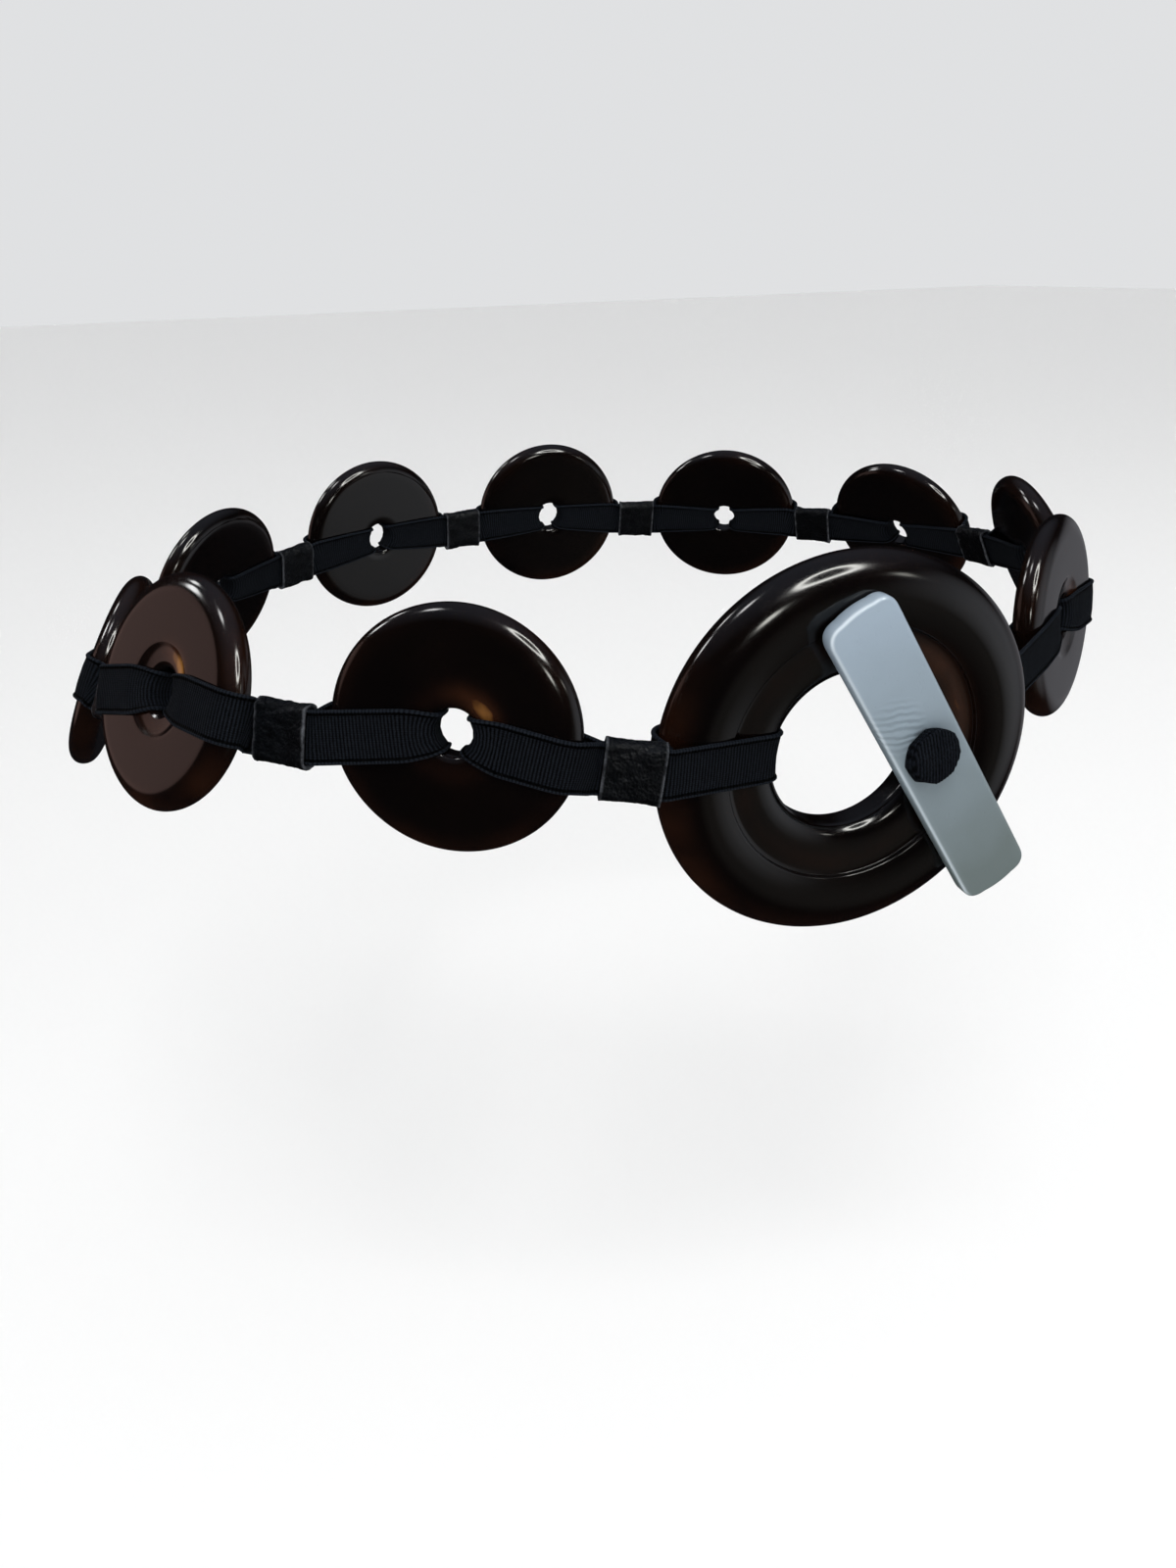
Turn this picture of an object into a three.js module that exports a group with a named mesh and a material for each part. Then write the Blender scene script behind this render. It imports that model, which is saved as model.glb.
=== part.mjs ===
// Elastic belt, worn: glossy discs joined by loops of black elastic, closed at the front by a bar
// in a large ring. Lengths are in millimetres and angles in degrees.
// The front is -Y, +X is right as seen from the front, +Z is up.
// The origin is the waist's centre, at the height of the belt.
import * as THREE from "three";

// Clearance between pieces that touch
const FIT_GAP = 0.3;

// Small discs
const DISC_RADIUS = 30;
const DISC_HALF_THICK = 4;
const DISC_HOLE_RADIUS = 5.75;
const DISC_SIDES = 24;

// Large ring
const RING_RADIUS = 51;
const RING_HALF_THICK = 6.5;
const RING_HOLE_RADIUS = 20.75;
const RING_SIDES = 40;

// The belt's line round the waist
const DISC_GAP = 18.4;
const RING_GAP_LEFT = 17.4;
const RING_GAP_RIGHT = 21.4;
const WIDTH_TO_DEPTH = 1.25;

// Elastic
const ELASTIC_WIDTH = 13;
const ELASTIC_THICK = 1.2;
const CURL_LIMIT = 66;
const CURL_WAY = 0.1;

// Leather keepers
const KEEPER_LENGTH = 14.5;
const KEEPER_WALL = 1;
const KEEPER_CORNER = 1.3;
const KEEPER_DROP = 2.7;
const KEEPER_LIFT = 6;
const KEEPER_MOUTH_RUN = 1.3;

// Toggle bar and the knob on its front
const BAR_LENGTH = 95.5;
const BAR_WIDTH = 19;
const BAR_THICK = 5;
const BAR_CORNER = 5;
const BAR_END_CROWN = 1;
const BAR_EDGE = 0.8;
const BAR_HOLE_RADIUS = 3.6;
const BAR_ANGLE = -58;
const BAR_HOLE_OFF_MIDDLE = 2.6;
const BAR_INSIDE_HOLE_EDGE = 3.9;
const BAR_RISE = 1.7;
const KNOB_RADIUS = 7.2;
const KNOB_HEIGHT = 4;
const KNOB_SIDES = 10;

const COLOURS = {
  horn: { color: 0x0d0806, roughness: 0.08, metalness: 0 },
  elastic: { color: 0x0b0d12, roughness: 0.9, metalness: 0 },
  leather: { color: 0x0d0d11, roughness: 0.55, metalness: 0 },
  toggle: { color: 0x7d8a92, roughness: 0.45, metalness: 0 },
};

// Fronts and backs from the hole to the start of the rim: share of that way, share of the half thickness.
// The disc's front has a shallow dish round the hole. The ring's front has a rounded inner edge,
// a dished inner band, a crease, and a crowned outer band. Both backs are flat with a rounded inner edge.
const DISC_FRONT = [
  [0.0, 0.3],
  [0.02, 0.57],
  [0.075, 0.72],
  [0.31, 1.0],
  [1.0, 1.0],
];
const RING_FRONT = [
  [0.0, 0.05],
  [0.02, 0.25],
  [0.1, 0.48],
  [0.3, 0.6],
  [0.56, 0.66],
  [0.62, 0.83],
  [0.76, 0.96],
  [1.0, 1.0],
];
const PLAIN_BACK = [
  [0.0, 0.6],
  [0.05, 1.0],
  [1.0, 1.0],
];

const DISC = {
  radius: DISC_RADIUS,
  half: DISC_HALF_THICK,
  hole: DISC_HOLE_RADIUS,
  sides: DISC_SIDES,
  front: DISC_FRONT,
  rimAngles: [45, 0, -45],
};
const RING = {
  radius: RING_RADIUS,
  half: RING_HALF_THICK,
  hole: RING_HOLE_RADIUS,
  sides: RING_SIDES,
  front: RING_FRONT,
  rimAngles: [60, 30, 0, -30, -60],
};

// How the discs sit, from the ring leftwards round the back to the ring's right side.
// lean tips the face up, turn swings it towards +X, and rise is a share of the small disc's radius.
const SEATS = [
  { name: "ring", kind: RING, lean: -1, turn: -10, rise: -0.335 },
  { name: "disc_1", kind: DISC, lean: 5, turn: -7, rise: 0.17 },
  { name: "disc_2", kind: DISC, lean: 23.5, turn: -6, rise: 0.24 },
  { name: "disc_3", kind: DISC, lean: 25, turn: -3, rise: -0.27 },
  { name: "disc_4", kind: DISC, lean: 18, turn: 0, rise: -0.1 },
  { name: "disc_5", kind: DISC, lean: 8, turn: 0, rise: 0.05 },
  { name: "disc_6", kind: DISC, lean: 8, turn: 0, rise: 0.05 },
  { name: "disc_7", kind: DISC, lean: 18, turn: 0, rise: -0.05 },
  { name: "disc_8", kind: DISC, lean: 26, turn: 0, rise: -0.05 },
  { name: "disc_9", kind: DISC, lean: 23, turn: 0, rise: 0.1 },
  { name: "disc_10", kind: DISC, lean: 6.5, turn: -4, rise: 0.09 },
];

// How far each keeper has slid from the middle of its gap, as a share of the free way to the rim beside it.
// It is positive towards the disc before it, and beyond 1 the keeper laps over that disc's rim.
const KEEPER_SLIDES = [1.2, -1, 0, 0, 0, 0, 0, 0, 0, 0];

// How far each keeper stands off the waist, as a share of KEEPER_LIFT. The front ones lie up on the rims.
const KEEPER_LIFTS = [1, 0.7, 0.3, 0.1, 0.2, 0.2, 0.2, 0.2, 0.2, 0.2];

// The knob's side and top from its foot to its middle: share of its radius, share of its height.
const KNOB_PROFILE = [
  [0.0, 0.0],
  [0.92, 0.0],
  [1.0, 0.3],
  [0.95, 0.7],
  [0.7, 0.95],
  [0.0, 1.0],
];

const UP = new THREE.Vector3(0, 0, 1);
const radians = THREE.MathUtils.degToRad;
const mix = THREE.MathUtils.lerp;
const elasticOff = ELASTIC_THICK / 2 + FIT_GAP;
const layerStep = (ELASTIC_THICK + FIT_GAP) / 2;

// The points of one face, from the hole to the rim, as radius and height from the disc's middle plane.
function facePoints(kind, side) {
  const rows = side > 0 ? kind.front : PLAIN_BACK;
  return rows.map(([way, height]) => [
    mix(kind.hole, kind.radius - kind.half, way),
    side * height * kind.half,
  ]);
}

// The points of the half-round rim, starting from the face on that side.
function rimPoints(kind, side) {
  return kind.rimAngles.map((angle) => [
    kind.radius - kind.half + kind.half * Math.cos(radians(angle)),
    side * kind.half * Math.sin(radians(angle)),
  ]);
}

function discGeometry(kind) {
  const outline = [
    ...facePoints(kind, -1),
    ...rimPoints(kind, -1),
    ...facePoints(kind, 1).reverse(),
  ];
  outline.push(outline[0]);
  return new THREE.LatheGeometry(
    outline.map(([radius, height]) => new THREE.Vector2(radius, height)),
    kind.sides,
  );
}

// The ellipse through the discs' centres, as long as the whole chain, walked leftwards from the front.
function beltLine(length) {
  const steps = 360;
  const points = [];
  for (let step = 0; step < steps; step += 1) {
    const angle = (step / steps) * 2 * Math.PI;
    points.push(new THREE.Vector3(-Math.sin(angle) * WIDTH_TO_DEPTH, -Math.cos(angle), 0));
  }
  const curve = new THREE.CatmullRomCurve3(points, true);
  curve.arcLengthDivisions = 4 * steps;
  const scale = length / curve.getLength();
  return (walked) => {
    const share = THREE.MathUtils.euclideanModulo(walked / length, 1);
    const outward = new THREE.Vector3().crossVectors(UP, curve.getTangentAt(share)).normalize();
    return { point: curve.getPointAt(share).multiplyScalar(scale), outward };
  };
}

// The free gap that follows each disc, up to the next one in the chain.
function gapAfter(index) {
  if (index === 0) return RING_GAP_LEFT;
  return index === SEATS.length - 1 ? RING_GAP_RIGHT : DISC_GAP;
}

// Every disc's centre, facing and place along the belt's line.
function seatDiscs() {
  let walked = 0;
  const places = SEATS.map((seat, index) => {
    const place = walked;
    const next = SEATS[(index + 1) % SEATS.length];
    walked += seat.kind.radius + gapAfter(index) + next.kind.radius;
    return place;
  });
  const line = beltLine(walked);
  const discs = SEATS.map((seat, index) => {
    const { point, outward } = line(places[index]);
    const face = outward.applyAxisAngle(UP, radians(seat.turn)).multiplyScalar(Math.cos(radians(seat.lean)));
    face.z = Math.sin(radians(seat.lean));
    point.z = seat.rise * DISC_RADIUS;
    return { name: seat.name, kind: seat.kind, centre: point, face, place: places[index] };
  });
  return { discs, line };
}

// Axes at a centre: "out" is the facing, "along" is the way as it lies in that plane, and "across" points up.
function axesAt(centre, way, face) {
  const out = face.clone().normalize();
  const along = way.clone().projectOnPlane(out).normalize();
  const across = new THREE.Vector3().crossVectors(out, along);
  if (across.z < 0) across.negate();
  return { centre, along, across, out };
}

// A point given by its shares of the axes: along, out, and across.
function pointOn(axes, along, out, across = 0) {
  return axes.centre
    .clone()
    .addScaledVector(axes.along, along)
    .addScaledVector(axes.out, out)
    .addScaledVector(axes.across, across);
}

// A keeper sits in the gap after a disc, round both layers of the loop, and stands off the waist by its lift.
function keeperAxes(discs, line, index) {
  const before = discs[index];
  const after = discs[index + 1];
  const gap = gapAfter(index);
  const room = (gap - KEEPER_LENGTH) / 2 - FIT_GAP;
  const slid = KEEPER_SLIDES[index] * room;
  const { point, outward } = line(before.place + before.kind.radius + gap / 2 - slid);
  const keeperHalf = ELASTIC_THICK + 1.5 * FIT_GAP + KEEPER_WALL;
  const lift = KEEPER_LIFTS[index] * KEEPER_LIFT;
  point.addScaledVector(outward, keeperHalf - DISC_HALF_THICK + lift);
  point.z = (before.centre.z + after.centre.z) / 2 - KEEPER_DROP;
  const way = after.centre.clone().sub(before.centre);
  return axesAt(point, way, before.face.clone().add(after.face));
}

// True where the path first-second-third bends back towards the disc, as taut elastic does.
function bendsIn(first, second, third, side) {
  const turn =
    (second[0] - first[0]) * (third[1] - second[1]) - (second[1] - first[1]) * (third[0] - second[0]);
  return side * turn < 0;
}

// The step away from the disc at one point of a path that keeps a lifted copy of the path parallel to it.
function awayFrom(points, index, side) {
  const normals = [Math.max(index - 1, 0), Math.min(index, points.length - 2)].map((first) => {
    const run = [points[first + 1][0] - points[first][0], points[first + 1][1] - points[first][1]];
    const length = Math.hypot(...run);
    return [(-side * run[1]) / length, (side * run[0]) / length];
  });
  const sum = [normals[0][0] + normals[1][0], normals[0][1] + normals[1][1]];
  return sum.map((value) => (2 * value) / (sum[0] ** 2 + sum[1] ** 2));
}

// The middle line of taut elastic over one face, from the hole's middle to where it leaves for "goal".
// It stands "off" the surface, bridges every hollow, and leaves where the way to the goal is free,
// with room to twist.
function tautLine(kind, side, goal, off) {
  const surface = [[kind.hole, 0], ...facePoints(kind, side), ...rimPoints(kind, side)];
  const lifted = surface.map(([radius, height], index) => {
    const away = awayFrom(surface, index, side);
    return [radius + away[0] * off, height + away[1] * off];
  });
  const line = [];
  for (const point of lifted) {
    while (line.length > 1 && !bendsIn(line[line.length - 2], line[line.length - 1], point, side)) line.pop();
    line.push(point);
  }
  const aim = [goal[0], goal[1] - side * ELASTIC_THICK];
  const isFree = (point, index) => index > 0 && !bendsIn(point, line[index + 1] ?? point, aim, side);
  const leaves = line.findIndex(isFree);
  return [...line.slice(0, leaves + 1), goal];
}

// One cross-section of elastic, from its middle, the way its outer side faces, its half width,
// and its curl's radius.
function section(axes, along, out, across, away, halfWidth, curlRadius) {
  const outer = [];
  const inner = [];
  for (const share of [-1, 0, 1]) {
    const angle = (share * halfWidth) / curlRadius;
    const sideways = Number.isFinite(curlRadius) ? curlRadius * Math.sin(angle) : share * halfWidth;
    const inward = Number.isFinite(curlRadius) ? curlRadius * (Math.cos(angle) - 1) : 0;
    const middle = pointOn(axes, along + inward, out, across + sideways);
    const facing = new THREE.Vector3()
      .addScaledVector(axes.along, away[0] * Math.cos(angle))
      .addScaledVector(axes.across, away[0] * Math.sin(angle))
      .addScaledVector(axes.out, away[1]);
    outer.push(middle.clone().addScaledVector(facing, ELASTIC_THICK / 2));
    inner.unshift(middle.clone().addScaledVector(facing, -ELASTIC_THICK / 2));
  }
  return [...outer, ...inner];
}

// The radius to which elastic curls at a distance from a hole's middle. In the hole and over its edge
// the elastic follows the hole's round.
function curlAt(kind, along) {
  return along < mix(kind.hole, kind.radius - kind.half, CURL_WAY) ? along : Infinity;
}

// The sections over one face of a disc, from its hole outwards.
function discSections(kind, axes, side, goal) {
  const line = tautLine(kind, side, goal, elasticOff);
  return line.slice(0, -1).map(([along, out], index) => {
    const away = awayFrom(line, index, side);
    const curlRadius = curlAt(kind, along);
    const halfWidth = Math.min(ELASTIC_WIDTH / 2, curlRadius * radians(CURL_LIMIT));
    return section(axes, along, out, 0, away, halfWidth, curlRadius);
  });
}

// The place of a world point in a disc's own plane, as distance along and height out.
function placeIn(axes, point) {
  const from = point.clone().sub(axes.centre);
  return [from.dot(axes.along), from.dot(axes.out)];
}

// A closed band from its cross-sections, in their order round the loop.
function bandGeometry(sections) {
  const size = sections[0].length;
  const positions = sections.flat().flatMap((point) => point.toArray());
  const index = [];
  sections.forEach((points, turn) => {
    const next = (turn + 1) % sections.length;
    points.forEach((point, corner) => {
      const after = (corner + 1) % size;
      const a = turn * size + corner;
      const b = turn * size + after;
      const c = next * size + after;
      const d = next * size + corner;
      index.push(a, b, c, a, c, d);
    });
  });
  const geometry = new THREE.BufferGeometry();
  geometry.setAttribute("position", new THREE.Float32BufferAttribute(positions, 3));
  geometry.setIndex(index);
  geometry.computeVertexNormals();
  return geometry;
}

// Where a loop's layers turn off, from a keeper's middle: they run straight a little way out of its mouth.
const keeperMouth = KEEPER_LENGTH / 2 + KEEPER_MOUTH_RUN;

// The sections in a keeper: the layer on one side, at both of its ends.
function keeperSections(axes, side) {
  return [-keeperMouth, keeperMouth].map((along) =>
    section(axes, along, side * layerStep, 0, [0, side], ELASTIC_WIDTH / 2, Infinity),
  );
}

// A loop from one disc's hole through a keeper to the next disc's hole and back behind them.
function loopGeometry(before, after, keeper) {
  const start = axesAt(before.centre, keeper.centre.clone().sub(before.centre), before.face);
  const end = axesAt(after.centre, keeper.centre.clone().sub(after.centre), after.face);
  const sideOf = (disc, axes, side, keeperEnd) => {
    const goal = pointOn(keeper, keeperEnd * keeperMouth, side * layerStep);
    return discSections(disc.kind, axes, side, placeIn(axes, goal));
  };
  return bandGeometry([
    ...sideOf(before, start, 1, -1),
    ...keeperSections(keeper, 1),
    ...sideOf(after, end, 1, 1).reverse(),
    ...sideOf(after, end, -1, 1).slice(1),
    ...keeperSections(keeper, -1).reverse(),
    ...sideOf(before, start, -1, -1).slice(1).reverse(),
  ]);
}

// The toggle's place in the ring's plane, and its axes: along the bar, across it, and out.
function barAxes(ring) {
  const right = axesAt(ring.centre, new THREE.Vector3(1, 0, 0), ring.face);
  const seat = ring.kind.half + FIT_GAP;
  const centre = pointOn(right, RING_HOLE_RADIUS - BAR_INSIDE_HOLE_EDGE, seat, BAR_RISE);
  const way = right.along.clone().applyAxisAngle(right.out, radians(BAR_ANGLE));
  return axesAt(centre, way, ring.face);
}

// The toggle's loop: from the last disc's hole, behind the ring's right band with both layers together,
// up through the ring's hole, and into the bar's hole, where it ends under the knob.
function toggleElasticGeometry(disc, ring, bar) {
  const axes = axesAt(ring.centre, disc.centre.clone().sub(ring.centre), ring.face);
  const barPlace = bar.centre.clone().sub(ring.centre);
  const barAlong = barPlace.dot(axes.along);
  const barAcross = barPlace.dot(axes.across);
  const stack = elasticOff + layerStep;
  const { half, radius } = ring.kind;
  const seat = half + FIT_GAP;
  const barHalfWidth = Math.sqrt((BAR_HOLE_RADIUS - FIT_GAP) ** 2 - (layerStep + ELASTIC_THICK / 2) ** 2);
  const tip = seat + BAR_THICK - ELASTIC_THICK / 2 - layerStep;
  const wide = ELASTIC_WIDTH / 2;
  const start = [radius, -half - stack];
  const behind = tautLine(ring.kind, -1, start, stack).reverse();
  const route = [
    ...behind.map(([along, out]) => ({ along, out, across: 0, halfWidth: wide, curls: true })),
    { along: barAlong, out: seat, across: barAcross, halfWidth: barHalfWidth, curls: false },
    { along: barAlong, out: tip, across: barAcross, halfWidth: barHalfWidth, curls: false },
  ];
  const line = route.map(({ along, out }) => [along, out]);
  const layer = (side) =>
    route.map(({ along, out, across, halfWidth, curls }, index) => {
      const away = awayFrom(line, index, -1).map((value) => side * value);
      const radial = along + away[0] * layerStep;
      const curlRadius = curls ? curlAt(ring.kind, radial) : Infinity;
      return section(axes, radial, out + away[1] * layerStep, across, away, halfWidth, curlRadius);
    });
  const end = section(axes, barAlong, tip + layerStep, barAcross, [0, 1], barHalfWidth, Infinity);
  const discAxes = axesAt(disc.centre, pointOn(axes, ...start).sub(disc.centre), disc.face);
  const discSide = (side) => {
    const goal = pointOn(axes, start[0], start[1] + side * layerStep);
    return discSections(disc.kind, discAxes, side, placeIn(discAxes, goal));
  };
  return bandGeometry([
    ...discSide(1),
    ...layer(1),
    end,
    ...layer(-1).reverse(),
    ...discSide(-1).slice(1).reverse(),
  ]);
}

function roundedRectangle(shape, halfLong, halfHigh, corner) {
  shape.moveTo(halfLong - corner, -halfHigh);
  shape.absarc(halfLong - corner, -halfHigh + corner, corner, radians(-90), 0);
  shape.absarc(halfLong - corner, halfHigh - corner, corner, 0, radians(90));
  shape.absarc(-halfLong + corner, halfHigh - corner, corner, radians(90), radians(180));
  shape.absarc(-halfLong + corner, -halfHigh + corner, corner, radians(180), radians(270));
  shape.closePath();
  return shape;
}

// A sleeve of leather round both layers, made along Z from an outline with a slot.
function keeperGeometry() {
  const slotHigh = ELASTIC_THICK + 1.5 * FIT_GAP;
  const slotWide = ELASTIC_WIDTH / 2 + FIT_GAP;
  const outline = roundedRectangle(
    new THREE.Shape(),
    slotWide + KEEPER_WALL,
    slotHigh + KEEPER_WALL,
    KEEPER_CORNER,
  );
  const slot = new THREE.Path();
  slot.moveTo(-slotWide, -slotHigh);
  slot.lineTo(-slotWide, slotHigh);
  slot.lineTo(slotWide, slotHigh);
  slot.lineTo(slotWide, -slotHigh);
  slot.closePath();
  outline.holes.push(slot);
  const sleeve = new THREE.ExtrudeGeometry(outline, {
    depth: KEEPER_LENGTH,
    bevelEnabled: false,
    curveSegments: 2,
  });
  return sleeve.translate(0, 0, -KEEPER_LENGTH / 2);
}

// A flat bar with crowned ends, rounded corners and eased edges.
// Its origin is its hole, which is a little off its middle.
function barGeometry() {
  const halfLong = BAR_LENGTH / 2;
  const halfWide = BAR_WIDTH / 2;
  const shoulder = halfLong - BAR_END_CROWN;
  const outline = new THREE.Shape();
  outline.moveTo(-shoulder + BAR_CORNER, -halfWide);
  outline.lineTo(shoulder - BAR_CORNER, -halfWide);
  outline.quadraticCurveTo(shoulder, -halfWide, shoulder, -halfWide + BAR_CORNER);
  outline.quadraticCurveTo(halfLong, 0, shoulder, halfWide - BAR_CORNER);
  outline.quadraticCurveTo(shoulder, halfWide, shoulder - BAR_CORNER, halfWide);
  outline.lineTo(-shoulder + BAR_CORNER, halfWide);
  outline.quadraticCurveTo(-shoulder, halfWide, -shoulder, halfWide - BAR_CORNER);
  outline.quadraticCurveTo(-halfLong, 0, -shoulder, -halfWide + BAR_CORNER);
  outline.quadraticCurveTo(-shoulder, -halfWide, -shoulder + BAR_CORNER, -halfWide);
  outline.holes.push(new THREE.Path().absarc(-BAR_HOLE_OFF_MIDDLE, 0, BAR_HOLE_RADIUS, 0, 2 * Math.PI, true));
  return new THREE.ExtrudeGeometry(outline, {
    depth: BAR_THICK - 2 * BAR_EDGE,
    bevelThickness: BAR_EDGE,
    bevelSize: BAR_EDGE,
    bevelOffset: -BAR_EDGE,
    bevelSegments: 1,
    curveSegments: 4,
  }).translate(BAR_HOLE_OFF_MIDDLE, 0, BAR_EDGE);
}

function knobGeometry() {
  const profile = KNOB_PROFILE.map(
    ([radius, height]) => new THREE.Vector2(radius * KNOB_RADIUS, height * KNOB_HEIGHT),
  );
  return new THREE.LatheGeometry(profile, KNOB_SIDES);
}

function piece(name, geometry, finish) {
  const mesh = new THREE.Mesh(geometry, new THREE.MeshStandardMaterial(COLOURS[finish]));
  mesh.name = name;
  return mesh;
}

// Places a mesh at a centre with its own X, Y and Z along three given directions.
function placed(mesh, centre, x, y, z) {
  mesh.position.copy(centre);
  mesh.quaternion.setFromRotationMatrix(new THREE.Matrix4().makeBasis(x, y, z));
  return mesh;
}

// A piece made round its own Y, stood along the facing.
function facingOut(mesh, centre, face) {
  const side = new THREE.Vector3().crossVectors(UP, face).normalize();
  return placed(mesh, centre, side, face, new THREE.Vector3().crossVectors(side, face));
}

function buildBelt() {
  const belt = new THREE.Group();
  const { discs, line } = seatDiscs();
  const ring = discs[0];
  for (const disc of discs) {
    belt.add(facingOut(piece(disc.name, discGeometry(disc.kind), "horn"), disc.centre, disc.face));
  }
  for (let index = 0; index < discs.length - 1; index += 1) {
    const keeper = keeperAxes(discs, line, index);
    const number = index + 1;
    belt.add(piece("elastic_" + number, loopGeometry(discs[index], discs[index + 1], keeper), "elastic"));
    const { centre, along, across, out } = keeper;
    const sleeve = piece("keeper_" + number, keeperGeometry(), "leather");
    const lengthways = new THREE.Vector3().crossVectors(across, out);
    belt.add(placed(sleeve, centre, across, out, lengthways));
  }
  const bar = barAxes(ring);
  const last = discs[discs.length - 1];
  belt.add(piece("toggle_elastic", toggleElasticGeometry(last, ring, bar), "elastic"));
  const barAcross = new THREE.Vector3().crossVectors(bar.out, bar.along);
  belt.add(placed(piece("toggle_bar", barGeometry(), "toggle"), bar.centre, bar.along, barAcross, bar.out));
  const knobFoot = pointOn(bar, 0, BAR_THICK + FIT_GAP);
  belt.add(facingOut(piece("toggle_knob", knobGeometry(), "elastic"), knobFoot, bar.out));
  return belt;
}

export default buildBelt();
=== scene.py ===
# Looks of the worn elastic belt: glossy discs on loops of ribbed elastic, a large ring and a grey toggle bar.
# Lengths are in millimetres and angles in degrees until a mesh is made. The front is -Y and +Z is up.
import math

import bpy
import numpy as np
from mathutils import Matrix, Vector, noise


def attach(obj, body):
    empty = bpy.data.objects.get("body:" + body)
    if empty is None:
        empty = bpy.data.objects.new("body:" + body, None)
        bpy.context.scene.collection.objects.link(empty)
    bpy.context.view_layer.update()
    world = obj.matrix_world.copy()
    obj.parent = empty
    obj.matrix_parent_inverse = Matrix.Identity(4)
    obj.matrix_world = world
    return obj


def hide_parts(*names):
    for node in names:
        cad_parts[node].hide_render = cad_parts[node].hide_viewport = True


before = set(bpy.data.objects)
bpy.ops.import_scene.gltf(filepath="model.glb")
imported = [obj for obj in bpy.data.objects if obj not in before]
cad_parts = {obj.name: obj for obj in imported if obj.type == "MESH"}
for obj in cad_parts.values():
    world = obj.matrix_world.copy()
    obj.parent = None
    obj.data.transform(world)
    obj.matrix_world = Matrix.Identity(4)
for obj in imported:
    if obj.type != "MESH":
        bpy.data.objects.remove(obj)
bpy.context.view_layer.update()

MM = 0.001
UP = np.array([0.0, 0.0, 1.0])

# The belt's own sizes, as its solids have them
FIT_GAP = 0.3
DISC_RADIUS = 30
DISC_HALF_THICK = 4
DISC_HOLE_RADIUS = 5.75
RING_RADIUS = 51
RING_HALF_THICK = 6.5
RING_HOLE_RADIUS = 20.75
DISC_GAP = 18.4
RING_GAP_LEFT = 17.4
RING_GAP_RIGHT = 21.4
WIDTH_TO_DEPTH = 1.25
ELASTIC_WIDTH = 13
ELASTIC_THICK = 1.2
CURL_LIMIT = 66
KEEPER_LENGTH = 14.5
KEEPER_WALL = 1
KEEPER_DROP = 2.7
KEEPER_LIFT = 6
KEEPER_MOUTH_RUN = 1.3
BAR_LENGTH = 95.5
BAR_WIDTH = 19
BAR_THICK = 5
BAR_CORNER = 5
BAR_END_CROWN = 1
BAR_HOLE_RADIUS = 3.6
BAR_ANGLE = -58
BAR_HOLE_OFF_MIDDLE = 2.6
BAR_INSIDE_HOLE_EDGE = 3.9
BAR_RISE = 1.7
KNOB_RADIUS = 7.2
KNOB_HEIGHT = 4

# How finely each form is drawn
LINE_SAMPLES = 14401
TAUT_STEPS = 5
FACE_STEPS = 8
RIM_STEPS = 14
DISC_STEPS = 112
RING_STEPS = 176
RIB_STEPS = 3
KEEPER_STEPS_ROUND = 96
KEEPER_STEPS_ALONG = 45
BAR_STEPS = 320
KNOB_STEPS = 144

# The elastic: how close it lies, its ribs, how far its corners are rounded, and the distances from the hole's
# edge over which it uncurls and spreads to its full width
SEAT_GAP = 0.12
RIB_PITCH = 0.85
RIB_DEPTH = 0.16
SMOOTH_MM = 1.3
UNCURL_RUN = (0.5, 5.5)
SPREAD_RUN = (-0.5, 5.0)
WIDTH_IN_HOLE_SHARE = 0.845

# The keepers' rounded corners and creased skin: creases, one fold on the front, and the pinch in the middle
KEEPER_CORNER = 2.2
KEEPER_SLOT_CORNER = 0.8
CREASE_DEPTH = 0.35
FOLD_DEPTH = 0.45
FOLD_WIDTH = 0.9
FOLD_PLACE = 6.3
FOLD_SLANT = 0.25
PINCH_FLARE = 0.25
PINCH_DEPTH = 0.15
CUT_EDGE = (0.55, 0.1)
CUT_ROUND = 0.12
SKIN_TURNED_IN = 2.5

# The bar's eased edges and crown, and the way its lit edges face, which get a painted highlight in their
# colour
BAR_EASE = 1.1
BAR_CROWN = 0.03
BAR_HOLE_FLARE = 1.04
BAR_FACE_SHARES = (0.12, 0.35, 0.6, 0.85)
BAR_EDGE_LIT_FROM = (-1.1, 0.0, 0.4)
BAR_EDGE_LIT_ANGLE = 50
BAR_EDGE_LIT_SPREAD = 22
RIPPLES_UP_THE_BAR = 12
RIPPLES_TO_THE_LEFT = 5

# The knob's folded layers from the bar outwards: height and width, as shares of the knob's own
KNOB_LAYERS = [
    (0.0, 0.5),
    (0.02, 0.93),
    (0.28, 0.98),
    (0.33, 0.84),
    (0.38, 0.97),
    (0.62, 0.97),
    (0.67, 0.82),
    (0.72, 0.95),
    (0.93, 0.93),
    (1.0, 0.84),
    (1.03, 0.6),
    (1.04, 0.3),
    (1.04, 0.02),
]
KNOB_LAYER_STEPS = 3
KNOB_FACE_FROM = 0.9
KNOB_WIDTH_SHARE = 0.95
KNOB_STRETCH = (0.95, 1.0, 1.09)
KNOB_PEEP = 1.3
KNOB_PEEP_WAY = (-0.55, 0, -0.83)
KNOB_RIB_DEPTH = 0.14
KNOB_FOLD_DEPTH = 0.3
KNOB_SEAT = 0.05

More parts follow.
